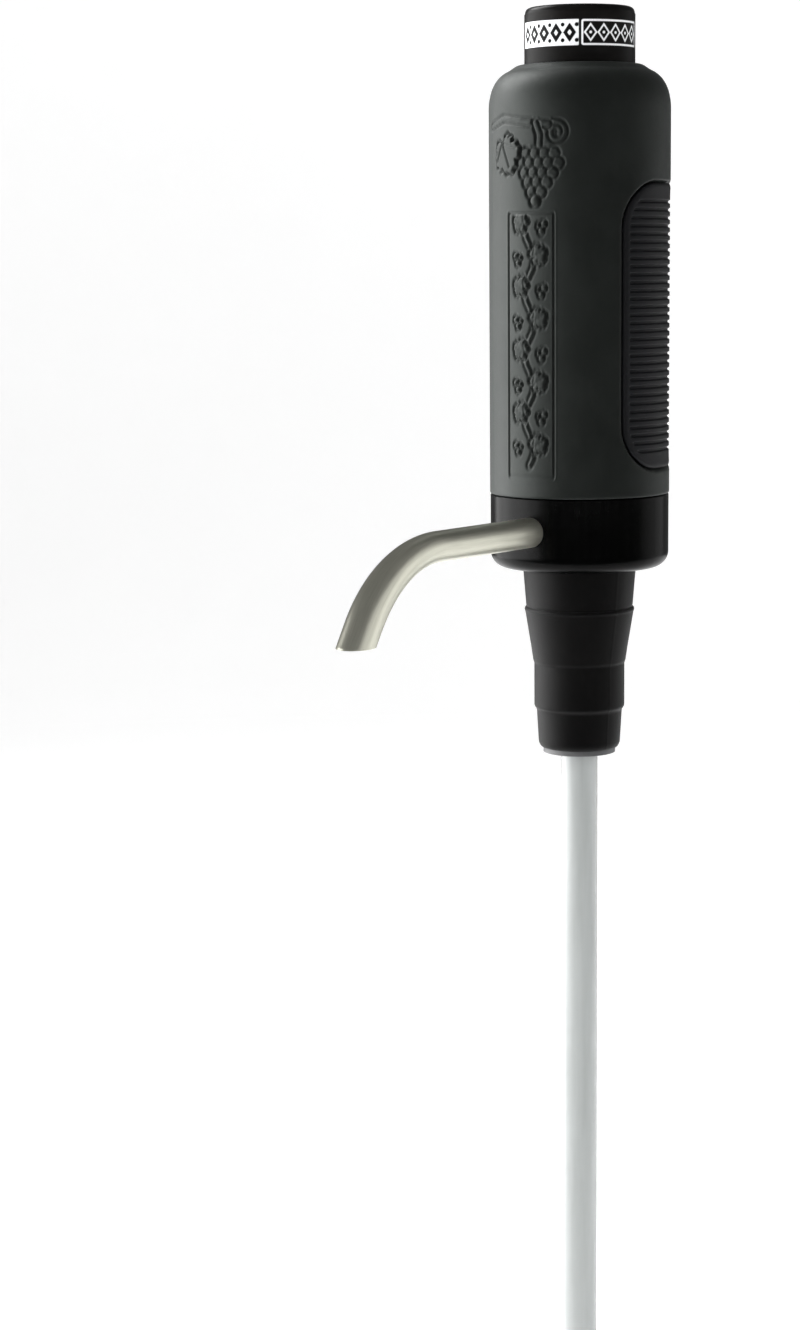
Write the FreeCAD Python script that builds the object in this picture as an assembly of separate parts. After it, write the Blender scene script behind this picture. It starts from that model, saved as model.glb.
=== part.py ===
"""Bottle-top wine dispenser worked by a small gas cartridge.

A tapered rubber stopper plugs the neck of a wine bottle.  Pressing the cartridge that stands out of the top
opens its aerosol valve: gas runs through the seat, the manifold and the stopper core into the bottle, and
pushes the wine up the dip tube, through the manifold and out of the bent spout.

Frame: millimetres, +Z up along the stopper, the spout points to -Y, and the origin is on the axis at the
middle of the stopper's straight sealing land.  Angles round the axis are counted from the spout towards +X.
"""
import FreeCAD
import Part
import math
import os

V = FreeCAD.Vector
ORIGIN = V(0, 0, 0)
UP = V(0, 0, 1)
FRONT = V(0, -1, 0)

# ---- driving dimensions ---------------------------------------------------------------------------------
MOUTH_Z = 8.0                     # the plane of the bottle's rim, above the middle of the sealing land
BODY_R = 18.2                     # grip shell
COLLAR_R = 18.1
CAN_R = 10.9                      # a 22 mm aerosol can
LABEL_T = 0.15

LAND_R = 9.25                     # plugs an 18.5 mm bottle bore
LAND_HALF = 4.5
STOPPER_TOP = MOUTH_Z + 16.4
STOPPER_BOTTOM = MOUTH_Z - 21.0
COLLAR_BOTTOM = MOUTH_Z + 16.45
COLLAR_FLOOR = COLLAR_BOTTOM + 2.0
SEAM_Z = MOUTH_Z + 31.45          # between collar and grip shell
SPIGOT_TOP = SEAM_Z + 3.4
SHELL_TOP = MOUTH_Z + 116.8
CAN_TOP = MOUTH_Z + 128.0
SPOUT_Z = MOUTH_Z + 24.7
OUTLET_Z = MOUTH_Z + 8.2
TUBE_BOTTOM = MOUTH_Z - 262.0     # just above the raised bottom of a 300 mm bottle

# manifold and what stands on it
MANIFOLD_R = 15.6
MANIFOLD_BOTTOM = COLLAR_FLOOR + 0.1
MANIFOLD_TOP = MOUTH_Z + 30.0
GASKET_T = 0.6
SEAT_BOTTOM = MANIFOLD_TOP + GASKET_T
SEAT_R = 10.0
SEAT_FLANGE_T = 2.0
TOWER_R = 4.6
TOWER_TOP = SEAT_BOTTOM + 6.4
GAS_Y = 7.6                       # the gas passage lies behind the wine passage
WINE_R = 2.4

# cartridge valve, valve end down
CUP_BOTTOM = MOUTH_Z + 39.6       # underside of the valve cup's turret
CUP_PLATE = MOUTH_Z + 41.0
SHEET_T = 0.4
STEM_R = 1.5
STEM_TIP = MOUTH_Z + 34.4
HEAD_BOTTOM = CUP_PLATE           # the stem's head rests on the stem gasket
HEAD_TOP = HEAD_BOTTOM + 3.0
HOUSING_TOP = MOUTH_Z + 52.4
HOUSING_CAVITY_TOP = MOUTH_Z + 50.4
CAN_NECK_BOTTOM = MOUTH_Z + 43.3
CAN_SHOULDER = MOUTH_Z + 49.6

# barrel and cradle
BARREL_R = 13.4
BARREL_BORE_R = 11.5
BARREL_TOP = MOUTH_Z + 110.0
CRADLE_R = 11.8
CRADLE_WELL_R = 12.0
CRADLE_BOTTOM = MOUTH_Z + 39.4
CRADLE_TOP = MOUTH_Z + 46.8
BARREL_STOP = CRADLE_TOP + 0.2    # the step that holds the cradle down

# stopper core and dip tube
CORE_R = 6.6
CORE_BOTTOM = STOPPER_BOTTOM - 1.0
CORE_FLANGE_R = 8.6
CORE_FLANGE_TOP = COLLAR_FLOOR + 1.2
SPIGOT_R = 4.0
CORE_SPIGOT_TOP = CORE_FLANGE_TOP + 1.9
CORE_GAS_Y = 5.1
TUBE_R = 3.8
TUBE_BORE_R = 3.0
TUBE_TOP = MOUTH_Z - 6.5

# spout
SPOUT_R = 3.0
SPOUT_BORE_R = 2.5
SPOUT_INNER_END = 7.2             # distance of the tube's inner end from the axis
BEND_START = 49.45
BEND_R = 27.9
BEND_DEG = 57.5
OUTLET_R = 3.55
OUTLET_BORE_R = 3.05
SPOUT_TAIL = 13.0                 # straight length past the bend, before the level cut

# raised frame on the front of the grip
FRAME_BOTTOM = MOUTH_Z + 35.1
FRAME_TOP = MOUTH_Z + 88.1
FRAME_HALF_DEG = 18.6
FRAME_BAND = 1.1
FRAME_RISE = 0.25

# ribbed grip pads, one on each side
PAD_CENTRE_DEG = 105.0
PAD_HALF_DEG = 45.0
PAD_BOTTOM = MOUTH_Z + 36.55
PAD_TOP = MOUTH_Z + 93.75
PAD_CORNER = 9.5
PAD_GAP = 0.45                    # between the pad and the edge of its pocket
PAD_FLOOR_R = 16.9
PAD_R = 18.1
RIB_PITCH = 1.582
RIB_COUNT = 32                    # grooves on one pad
RIB_DEPTH = 0.5
RIB_MARGIN = 1.4                  # smooth border round the grooves

# screws
BASE_SCREW_RADIUS = 13.3          # from the axis
BASE_SCREW_DEG = (60.0, 180.0, 300.0)
SEAT_SCREW_X = 7.1
SHANK_R = 0.8
SCREW_SINK = 1.2                  # depth of the counterbores under the collar
CLEARANCE = 0.1


# ---- helpers --------------------------------------------------------------------------------------------
def at_angle(radius, degrees, z=0.0):
    """A point at that distance from the axis, at an angle counted from the spout towards +X."""
    turn = math.radians(degrees)
    return V(radius * math.sin(turn), -radius * math.cos(turn), z)


def outline(start, *steps):
    """A closed wire in the XZ plane: a step is (r, z) for a line, ((r, z), (r, z)) for an arc through a point
    to an end, or ((r, z), (r, z), (r, z)) for a Bezier with two handles and an end."""
    here = V(start[0], 0, start[1])
    first = here
    edges = []
    for step in steps:
        if not isinstance(step[0], tuple):
            there = V(step[0], 0, step[1])
            edges.append(Part.LineSegment(here, there).toShape())
        else:
            points = [V(r, 0, z) for r, z in step]
            there = points[-1]
            if len(points) == 2:
                edges.append(Part.Arc(here, points[0], there).toShape())
            else:
                curve = Part.BezierCurve()
                curve.setPoles([here] + points)
                edges.append(curve.toShape())
        here = there
    edges.append(Part.LineSegment(here, first).toShape())
    return Part.Wire(edges)


def turned(start, *steps):
    """The outline turned once round the Z axis."""
    return Part.Face(outline(start, *steps)).revolve(ORIGIN, UP, 360)


def rod(radius, z0, z1, x=0.0, y=0.0):
    return Part.makeCylinder(radius, z1 - z0, V(x, y, z0), UP)


def ring(r_in, r_out, z0, z1):
    return rod(r_out, z0, z1).cut(rod(r_in, z0, z1))


def front_rod(radius, y0, y1, z):
    """A cylinder along -Y, from y0 to y1 in front of the axis."""
    return Part.makeCylinder(radius, y1 - y0, V(0, -y0, z), FRONT)


def joined(shapes):
    """The shapes fused into one solid, with the seams between them removed."""
    return shapes[0].multiFuse(shapes[1:]).removeSplitter()


def coil_spring(mean_r, wire_r, z0, z1, turns):
    """A round-wire compression spring between two planes."""
    pitch = (z1 - z0 - 2 * wire_r) / turns
    helix = Part.makeHelix(pitch, pitch * turns, mean_r)
    section = Part.Wire(Part.makeCircle(wire_r, V(mean_r, 0, 0), V(0, 1, 0)))
    spring = Part.Wire(helix.Edges).makePipeShell([section], True, True)
    spring.translate(V(0, 0, z0 + wire_r))
    return spring


def pan_screw(base, shank_r, head_r, head_h, length, up):
    """A pan-head screw: base is the underside of its head, and the shank runs up or down from there."""
    direction = UP if up else V(0, 0, -1)
    shank = Part.makeCylinder(shank_r, length, base, direction)
    head = Part.makeCylinder(head_r, head_h, base, direction * -1)
    slot = Part.makeBox(head_r * 2, head_r * 0.35, head_h * 0.5)
    slot.translate(V(-head_r, -head_r * 0.175, -head_h if up else head_h * 0.5))
    slot.translate(base)
    return joined([shank, head]).cut(slot)


# ---- grip -----------------------------------------------------------------------------------------------
def sector(r_in, r_out, z0, z1, deg0, deg1):
    """A piece of a ring between two angles counted from the spout."""
    outer = Part.makeCylinder(r_out, z1 - z0, V(0, 0, z0), UP, deg1 - deg0)
    inner = Part.makeCylinder(r_in, z1 - z0, V(0, 0, z0), UP, deg1 - deg0)
    piece = outer.cut(inner)
    piece.rotate(ORIGIN, UP, deg0 - 90.0)
    return piece


def panel_pieces(centre_deg, inset, r_in, r_out):
    """The pieces of a rounded rectangle wrapped round the axis, inset from the edge of the pad's pocket."""
    corner = PAD_CORNER - inset
    low, high = PAD_BOTTOM + inset, PAD_TOP - inset
    half = PAD_HALF_DEG - math.degrees(inset / BODY_R)
    corner_deg = math.degrees(math.asin(corner / BODY_R))
    deg0, deg1 = centre_deg - half, centre_deg + half
    pieces = [
        sector(r_in, r_out, low + corner, high - corner, deg0, deg1),
        sector(r_in, r_out, low, high, deg0 + corner_deg, deg1 - corner_deg),
    ]
    band = ring(r_in, r_out, low, high)
    for deg in (deg0 + corner_deg, deg1 - corner_deg):
        for z in (low + corner, high - corner):
            disc = Part.makeCylinder(corner, r_out + 5, V(0, 0, z), at_angle(1, deg))
            pieces.append(disc.common(band))
    return pieces


def make_grip_shell():
    """Soft-touch outer shell with a domed shoulder, closing round the cartridge."""
    shell = turned(
        (PAD_FLOOR_R, SEAM_Z + 0.05),
        (BODY_R, SEAM_Z + 0.05),
        (BODY_R, SHELL_TOP - 8.9),
        ((BODY_R, SHELL_TOP - 4.6), (16.6, SHELL_TOP - 2.2), (14.4, SHELL_TOP - 1.2)),
        (12.2, SHELL_TOP - 0.1),
        ((11.85, SHELL_TOP - 0.15), (11.7, SHELL_TOP - 0.5)),
        (11.7, SHELL_TOP - 4.4),
        (14.6, SHELL_TOP - 4.4),
        ((15.6, SHELL_TOP - 5.6), (16.0, SHELL_TOP - 8.4)),
        (16.0, SPIGOT_TOP + 0.2),
        (PAD_FLOOR_R, SPIGOT_TOP + 0.2),
    )
    for side in (1, -1):
        for piece in panel_pieces(side * PAD_CENTRE_DEG, 0.0, PAD_FLOOR_R, BODY_R + 1):
            shell = shell.cut(piece)
    band_deg = math.degrees(FRAME_BAND / BODY_R)
    frame = sector(BODY_R - 0.3, BODY_R + FRAME_RISE, FRAME_BOTTOM, FRAME_TOP, -FRAME_HALF_DEG, FRAME_HALF_DEG)
    hole = sector(BODY_R - 1, BODY_R + 1, FRAME_BOTTOM + FRAME_BAND, FRAME_TOP - FRAME_BAND,
                  band_deg - FRAME_HALF_DEG, FRAME_HALF_DEG - band_deg)
    return shell.fuse(frame.cut(hole)).removeSplitter()


def make_grip_pad(side):
    """Elastomer pad with horizontal grooves inside a smooth border."""
    centre = side * PAD_CENTRE_DEG
    pad = joined(panel_pieces(centre, PAD_GAP, PAD_FLOOR_R, PAD_R))
    first = (PAD_BOTTOM + PAD_TOP - (RIB_COUNT - 1) * RIB_PITCH) / 2
    grooves = []
    for i in range(RIB_COUNT):
        z = first + i * RIB_PITCH
        grooves.append(turned(
            (PAD_R - RIB_DEPTH, z - 0.12),
            (PAD_R + 0.2, z - 0.42),
            (PAD_R + 0.2, z + 0.42),
            (PAD_R - RIB_DEPTH, z + 0.12),
        ))
    field = joined(panel_pieces(centre, PAD_GAP + RIB_MARGIN, PAD_FLOOR_R, PAD_R + 1))
    return pad.cut(Part.makeCompound(grooves).common(field))


def make_guide_ring():
    """Wiper ring between the barrel's top and the shell's roof, which keeps the cartridge central."""
    return ring(11.35, 13.4, BARREL_TOP + 0.05, SHELL_TOP - 4.45)


def make_barrel():
    """Inner tube that guides the cartridge, with outside ribs, a flange and screw bosses."""
    solid = [rod(BARREL_R, MANIFOLD_TOP, BARREL_TOP), rod(MANIFOLD_R, MANIFOLD_TOP, MANIFOLD_TOP + 2.4)]
    for deg in BASE_SCREW_DEG:
        centre = at_angle(BASE_SCREW_RADIUS, deg)
        solid.append(rod(2.1, MANIFOLD_TOP, MANIFOLD_TOP + 8.9, centre.x, centre.y))
    for deg in range(0, 360, 60):
        rib = Part.makeBox(15.85, 1.6, 69.5, V(0, -0.8, MANIFOLD_TOP + 8.9))
        rib.rotate(ORIGIN, UP, deg - 90.0)
        solid.append(rib)
    barrel = joined(solid)
    barrel = barrel.cut(rod(CRADLE_WELL_R, MANIFOLD_TOP - 1, BARREL_STOP))
    barrel = barrel.cut(rod(BARREL_BORE_R, BARREL_STOP - 1, BARREL_TOP + 1))
    for deg in BASE_SCREW_DEG:
        centre = at_angle(BASE_SCREW_RADIUS, deg)
        barrel = barrel.cut(rod(SHANK_R, MANIFOLD_TOP - 1, MANIFOLD_TOP + 7.5, centre.x, centre.y))
    return barrel


# ---- base -----------------------------------------------------------------------------------------------
def make_base_collar():
    """Black cup under the grip: it holds the manifold, and the spout leaves through its front."""
    fillet = 3.2
    mid = fillet * (1 - math.sqrt(0.5))
    collar = turned(
        (CORE_R + CLEARANCE, COLLAR_BOTTOM),
        (COLLAR_R - fillet, COLLAR_BOTTOM),
        ((COLLAR_R - mid, COLLAR_BOTTOM + mid), (COLLAR_R, COLLAR_BOTTOM + fillet)),
        (COLLAR_R, SEAM_Z - 0.3),
        (COLLAR_R - 0.3, SEAM_Z),
        (16.8, SEAM_Z),
        (16.8, SPIGOT_TOP),
        (15.8, SPIGOT_TOP),
        (15.8, COLLAR_FLOOR),
        (CORE_R + CLEARANCE, COLLAR_FLOOR),
    )
    collar = collar.cut(front_rod(SPOUT_R + 0.05, 12, 22, SPOUT_Z))
    for deg in BASE_SCREW_DEG:
        centre = at_angle(BASE_SCREW_RADIUS, deg)
        collar = collar.cut(rod(1.7, COLLAR_BOTTOM - 1, COLLAR_BOTTOM + SCREW_SINK, centre.x, centre.y))
        collar = collar.cut(rod(SHANK_R + CLEARANCE, COLLAR_BOTTOM, COLLAR_FLOOR + 1, centre.x, centre.y))
    return collar


def make_manifold():
    """Block with the wine passage from the core to the spout, and the gas passage behind it."""
    block = rod(MANIFOLD_R, MANIFOLD_BOTTOM, MANIFOLD_TOP)
    gallery_top = CORE_FLANGE_TOP + 0.5
    tools = [
        rod(CORE_FLANGE_R + 0.2, MANIFOLD_BOTTOM - 1, CORE_FLANGE_TOP + CLEARANCE),
        ring(5.0, 6.3, CORE_FLANGE_TOP, gallery_top),
        rod(SPIGOT_R + 0.05, CORE_FLANGE_TOP, CORE_SPIGOT_TOP + CLEARANCE),
        ring(SPIGOT_R, 5.2, CORE_SPIGOT_TOP - 1.2, CORE_SPIGOT_TOP + CLEARANCE),
        rod(WINE_R, CORE_SPIGOT_TOP, SPOUT_Z),
        front_rod(WINE_R, 0, SPOUT_INNER_END, SPOUT_Z),
        Part.makeSphere(WINE_R, V(0, 0, SPOUT_Z)),
        front_rod(SPOUT_R + 0.05, SPOUT_INNER_END - CLEARANCE, MANIFOLD_R + 1, SPOUT_Z),
        rod(2.1, gallery_top - 0.1, MANIFOLD_TOP + 1, 0, GAS_Y),
    ]
    for y in (9.0, 12.0):
        tools.append(front_rod(4.15, y, y + 1.2, SPOUT_Z))
    for x in (-SEAT_SCREW_X, SEAT_SCREW_X):
        tools.append(rod(SHANK_R, MANIFOLD_TOP - 4, MANIFOLD_TOP + 1, x))
    for deg in BASE_SCREW_DEG:
        centre = at_angle(BASE_SCREW_RADIUS, deg)
        tools.append(rod(SHANK_R + CLEARANCE, MANIFOLD_BOTTOM - 1, MANIFOLD_TOP + 1, centre.x, centre.y))
    for tool in tools:
        block = block.cut(tool)
    return block


def make_base_screws():
    """Three screws from under the collar, through the manifold, into the barrel's bosses."""
    head_h = SCREW_SINK - 0.1
    under = COLLAR_BOTTOM + SCREW_SINK
    length = MANIFOLD_TOP + 7.0 - under
    points = [at_angle(BASE_SCREW_RADIUS, deg, under) for deg in BASE_SCREW_DEG]
    return Part.makeCompound([pan_screw(p, SHANK_R, 1.5, head_h, length, up=True) for p in points])


def make_duckbill_valve():
    """Rubber check valve in the gas passage: its lips let gas down and keep wine out."""
    top = MANIFOLD_TOP - 0.05
    flange = rod(2.05, top - 0.9, top, 0, GAS_Y)
    barrel = rod(1.45, top - 2.6, top - 0.9, 0, GAS_Y)
    lips = Part.Face(Part.makePolygon([
        V(0, GAS_Y - 1.4, top - 2.6), V(0, GAS_Y + 1.4, top - 2.6),
        V(0, GAS_Y + 0.3, top - 6.0), V(0, GAS_Y - 0.3, top - 6.0), V(0, GAS_Y - 1.4, top - 2.6),
    ])).extrude(V(2.9, 0, 0))
    lips.translate(V(-1.45, 0, 0))
    lips = lips.common(rod(1.45, top - 6.1, top - 2.5, 0, GAS_Y))
    return joined([flange, barrel, lips]).cut(rod(0.7, top - 3.4, top + 1, 0, GAS_Y))


# ---- gas seat -------------------------------------------------------------------------------------------
def seat_screw_points():
    return [V(x, 0, SEAT_BOTTOM + SEAT_FLANGE_T) for x in (-SEAT_SCREW_X, SEAT_SCREW_X)]


def make_seat_gasket():
    gasket = rod(SEAT_R, MANIFOLD_TOP, SEAT_BOTTOM).cut(rod(1.5, MANIFOLD_TOP, SEAT_BOTTOM, 0, GAS_Y))
    for point in seat_screw_points():
        gasket = gasket.cut(rod(SHANK_R + CLEARANCE, MANIFOLD_TOP, SEAT_BOTTOM, point.x))
    return gasket


def make_valve_seat():
    """Flange with a tower whose socket takes the cartridge's stem."""
    seat = joined([rod(SEAT_R, SEAT_BOTTOM, SEAT_BOTTOM + SEAT_FLANGE_T), rod(TOWER_R, SEAT_BOTTOM, TOWER_TOP)])
    socket_bottom = STEM_TIP - 0.05
    channel = joined([
        rod(1.0, SEAT_BOTTOM - 0.5, SEAT_BOTTOM + 1.0),
        rod(1.0, SEAT_BOTTOM - 0.5, SEAT_BOTTOM + 1.0, 0, GAS_Y),
        Part.makeBox(2.0, GAS_Y, 1.5, V(-1.0, 0, SEAT_BOTTOM - 0.5)),
    ])
    tools = [
        channel,
        rod(0.8, SEAT_BOTTOM, socket_bottom + 0.5),
        rod(STEM_R + 0.2, socket_bottom, TOWER_TOP + 1),
        ring(STEM_R, 2.7, TOWER_TOP - 1.8, TOWER_TOP - 0.7),
    ]
    for point in seat_screw_points():
        tools.append(rod(SHANK_R + CLEARANCE, SEAT_BOTTOM - 1, SEAT_BOTTOM + 3, point.x))
    for tool in tools:
        seat = seat.cut(tool)
    return seat


def make_seat_screws():
    return Part.makeCompound([pan_screw(p, SHANK_R, 1.6, 1.2, 6.2, up=False) for p in seat_screw_points()])


def make_cradle():
    """Sprung cup that carries the cartridge's valve end."""
    return turned(
        (8.2, CRADLE_BOTTOM),
        (CRADLE_R, CRADLE_BOTTOM),
        (CRADLE_R, CRADLE_TOP),
        (10.8, CRADLE_TOP),
        (10.2, CRADLE_TOP - 0.8),
        (10.2, CUP_PLATE - 0.05),
        (8.2, CUP_PLATE - 0.05),
    )


# ---- cartridge ------------------------------------------------------------------------------------------
def dish_z(r, rim_r, rim_z, depth):
    """Height at radius r of a spherical dish that sinks by depth at the axis below its rim."""
    sphere_r = (rim_r ** 2 + depth ** 2) / (2 * depth)
    return rim_z - depth + sphere_r - math.sqrt(sphere_r ** 2 - r ** 2)


def make_can():
    """Aluminium can, valve end down, with its concave base at the top as the push surface."""
    neck = CAN_NECK_BOTTOM
    rim_z = CAN_TOP - 0.7
    return turned(
        (7.2, neck),
        (9.4, neck),
        (9.4, neck + 1.2),
        (8.8, neck + 1.8),
        (8.8, neck + 3.9),
        ((10.35, neck + 4.55), (CAN_R, CAN_SHOULDER)),
        (CAN_R, CAN_TOP - 1.0),
        ((CAN_R - 0.3, CAN_TOP - 0.3), (CAN_R - 1.0, CAN_TOP)),
        ((CAN_R - 1.45, CAN_TOP - 0.2), (CAN_R - 1.7, rim_z)),
        ((4.8, dish_z(4.8, CAN_R - 1.7, rim_z, 2.9)), (0, rim_z - 2.9)),
        (0, rim_z - 3.4),
        ((4.8, dish_z(4.8, 8.9, rim_z - 0.9, 2.5)), (8.9, rim_z - 0.9)),
        (CAN_R - 0.45, CAN_TOP - 1.6),
        (CAN_R - 0.45, CAN_SHOULDER + 0.2),
        (8.3, neck + 4.3),
        (8.3, neck + 2.0),
        (7.2, neck + 1.0),
    )


def make_label():
    return ring(CAN_R, CAN_R + LABEL_T, CAN_SHOULDER + 2, CAN_TOP - 1.4)


def make_valve_cup():
    """Crimped ferrule with a turret for the stem."""
    return turned(
        (2.1, CUP_BOTTOM),
        (4.4, CUP_BOTTOM),
        (4.4, CUP_PLATE),
        (10.0, CUP_PLATE),
        (10.0, CAN_NECK_BOTTOM + 2.6),
        (8.95, CAN_NECK_BOTTOM + 3.3),
        (8.95, CAN_NECK_BOTTOM + 2.9),
        (9.6, CAN_NECK_BOTTOM + 2.3),
        (9.6, CUP_PLATE + SHEET_T),
        (4.0, CUP_PLATE + SHEET_T),
        (4.0, CUP_BOTTOM + SHEET_T),
        (2.1, CUP_BOTTOM + SHEET_T),
    )


def make_cup_gasket():
    return ring(4.1, 9.5, CUP_PLATE + SHEET_T, CUP_PLATE + SHEET_T + 0.9)


def make_stem_gasket():
    return ring(STEM_R + 0.02, 3.95, CUP_BOTTOM + SHEET_T, HEAD_BOTTOM)


def make_valve_housing():
    flange_z = CUP_PLATE + SHEET_T + 0.9
    body = joined([rod(3.9, HEAD_BOTTOM, HOUSING_TOP), rod(8.4, flange_z, CAN_NECK_BOTTOM)])
    return body.cut(rod(2.8, HEAD_BOTTOM - 1, HOUSING_CAVITY_TOP)).cut(rod(0.9, HEAD_BOTTOM, HOUSING_TOP + 1))


def make_valve_stem():
    stem = joined([rod(STEM_R, STEM_TIP, HEAD_BOTTOM + 0.5), rod(2.5, HEAD_BOTTOM, HEAD_TOP)])
    orifice = Part.makeCylinder(0.3, 6, V(-3, 0, HEAD_BOTTOM - 0.6), V(1, 0, 0))
    return stem.cut(rod(0.5, STEM_TIP - 1, HEAD_BOTTOM - 0.3)).cut(orifice)


# ---- wine side ------------------------------------------------------------------------------------------
def spout_sweep(root_r, outlet_r):
    """A round rod along the spout's line, growing from root_r to outlet_r through the bend."""
    turn = math.radians(BEND_DEG)
    bend_start = V(0, -BEND_START, SPOUT_Z)
    middle = V(0, -BEND_START - BEND_R * math.sin(turn / 2), SPOUT_Z - BEND_R * (1 - math.cos(turn / 2)))
    bend_end = V(0, -BEND_START - BEND_R * math.sin(turn), SPOUT_Z - BEND_R * (1 - math.cos(turn)))
    outward = V(0, -math.cos(turn), -math.sin(turn))
    bend = Part.Wire(Part.Arc(bend_start, middle, bend_end).toShape())
    sections = [
        Part.Wire(Part.makeCircle(root_r, bend_start, FRONT)),
        Part.Wire(Part.makeCircle(outlet_r, bend_end, outward)),
    ]
    straight = Part.makeCylinder(root_r, BEND_START - SPOUT_INNER_END, V(0, -SPOUT_INNER_END, SPOUT_Z), FRONT)
    curved = bend.makePipeShell(sections, True, False)
    tail = Part.makeCylinder(outlet_r, SPOUT_TAIL, bend_end, outward)
    return straight.fuse([curved, tail])


def make_spout():
    """Bent steel tube that widens through its bend and ends in a level cut."""
    tube = spout_sweep(SPOUT_R, OUTLET_R).cut(spout_sweep(SPOUT_BORE_R, OUTLET_BORE_R))
    below = Part.makeBox(60, 60, 40, V(-30, -110, OUTLET_Z - 40))
    return tube.cut(below)


def make_spout_o_rings():
    """Two seals round the spout inside the manifold."""
    return Part.makeCompound([
        Part.makeTorus(3.62, 0.48, V(0, -y, SPOUT_Z), FRONT) for y in (9.6, 12.6)
    ])


def make_stopper_core():
    """Rigid stem of the stopper: a flange and spigot at the top, a wine bore, a gas hole, and a tube socket."""
    core = joined([
        rod(CORE_R, CORE_BOTTOM, CORE_FLANGE_TOP),
        rod(7.4, CORE_BOTTOM, STOPPER_BOTTOM),
        rod(CORE_FLANGE_R, COLLAR_FLOOR, CORE_FLANGE_TOP),
        rod(SPIGOT_R, CORE_FLANGE_TOP, CORE_SPIGOT_TOP),
    ])
    core = core.cut(rod(WINE_R, CORE_BOTTOM - 1, CORE_SPIGOT_TOP + 1))
    core = core.cut(rod(TUBE_R, CORE_BOTTOM - 1, TUBE_TOP))
    return core.cut(rod(0.8, CORE_BOTTOM - 1, CORE_FLANGE_TOP + 1, 0, CORE_GAS_Y))


def make_stopper():
    """Stepped rubber plug: two tapers above the rim, the straight sealing land, and a narrower lead-in."""
    step_z = MOUTH_Z + 7.8
    return turned(
        (CORE_R, STOPPER_BOTTOM),
        (7.7, STOPPER_BOTTOM),
        ((8.1, STOPPER_BOTTOM + 0.25), (8.3, STOPPER_BOTTOM + 0.8)),
        (8.75, -LAND_HALF - 0.6),
        (LAND_R, -LAND_HALF),
        (LAND_R, LAND_HALF),
        (9.45, LAND_HALF + 0.5),
        (9.9, MOUTH_Z),
        (11.1, step_z - 0.5),
        ((11.25, step_z - 0.1), (11.1, step_z + 0.15)),
        (10.85, step_z + 0.3),
        (11.55, STOPPER_TOP),
        (CORE_R, STOPPER_TOP),
    )


def make_dip_tube():
    """Clear tube from the core to the bottom of the bottle, cut on a slant so it can't seal on the glass."""
    tube = ring(TUBE_BORE_R, TUBE_R, TUBE_BOTTOM, TUBE_TOP)
    wedge = Part.Face(Part.makePolygon([
        V(-5, -TUBE_R, TUBE_BOTTOM), V(-5, TUBE_R, TUBE_BOTTOM),
        V(-5, TUBE_R, TUBE_BOTTOM + 3.2), V(-5, -TUBE_R, TUBE_BOTTOM),
    ])).extrude(V(10, 0, 0))
    return tube.cut(wedge)


# ---- all pieces -----------------------------------------------------------------------------------------
def all_parts():
    return {
        "grip_shell": make_grip_shell(),
        "grip_pad_right": make_grip_pad(1),
        "grip_pad_left": make_grip_pad(-1),
        "guide_ring": make_guide_ring(),
        "barrel": make_barrel(),
        "base_collar": make_base_collar(),
        "base_screws": make_base_screws(),
        "manifold": make_manifold(),
        "duckbill_valve": make_duckbill_valve(),
        "seat_gasket": make_seat_gasket(),
        "valve_seat": make_valve_seat(),
        "seat_screws": make_seat_screws(),
        "stem_o_ring": Part.makeTorus(2.08, 0.5, V(0, 0, TOWER_TOP - 1.25), UP),
        "return_spring": coil_spring(11.0, 0.45, MANIFOLD_TOP, CRADLE_BOTTOM, 4.5),
        "cartridge_cradle": make_cradle(),
        "cartridge_can": make_can(),
        "cartridge_label": make_label(),
        "valve_cup": make_valve_cup(),
        "cup_gasket": make_cup_gasket(),
        "stem_gasket": make_stem_gasket(),
        "valve_housing": make_valve_housing(),
        "valve_stem": make_valve_stem(),
        "valve_spring": coil_spring(2.0, 0.25, HEAD_TOP, HOUSING_CAVITY_TOP, 5.0),
        "spout_tube": make_spout(),
        "spout_o_rings": make_spout_o_rings(),
        "stopper_core": make_stopper_core(),
        "core_o_ring": Part.makeTorus(4.6, 0.52, V(0, 0, CORE_SPIGOT_TOP - 0.6), UP),
        "stopper": make_stopper(),
        "dip_tube": make_dip_tube(),
    }


os.makedirs("parts", exist_ok=True)
for name, shape in all_parts().items():
    print(f"{name:18s} solids {len(shape.Solids)}  valid {shape.isValid()}  volume {shape.Volume:9.1f} mm3")
    shape.exportStep(f"parts/{name}.step")
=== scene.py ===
"""Looks of the bottle-top wine dispenser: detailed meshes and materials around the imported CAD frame.

Lengths inside the mesh functions are in millimetres and go into Blender in metres.  The frame is the CAD's:
+Z up along the stopper, the spout to -Y, and angles round the axis are counted from the spout towards +X.
"""
import math

import bmesh
import bpy
import numpy as np
from mathutils import Matrix, Vector


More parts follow.
